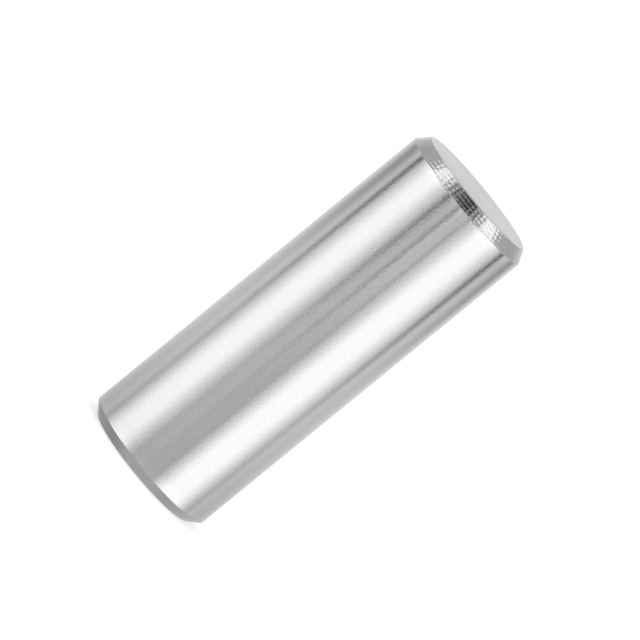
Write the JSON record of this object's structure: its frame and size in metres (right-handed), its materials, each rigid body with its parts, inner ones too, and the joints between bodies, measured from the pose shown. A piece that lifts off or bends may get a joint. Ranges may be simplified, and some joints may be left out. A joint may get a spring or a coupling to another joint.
{
  "type": "dowel pin",
  "caption": "Solid ground steel dowel pin: a plain cylinder with a long lead-in chamfer on one end and a short 45 degree chamfer on the other, for locating parts.",
  "frame": {"origin": "centre of the tail face, the flat end that the pin stands on", "axes": "+Z along the pin's axis, from the tail face towards the lead-in end; the pin is round, so +X and +Y are any two directions across it"},
  "size_m": [0.006, 0.006, 0.016],
  "materials": {
    "ground_steel": "centreless-ground shank, satin and neutral grey, with finely turned chamfers and faced ends"
  },
  "bodies": {
    "root": {"dowel_pin": "ground_steel"}
  },
  "joints": []
}
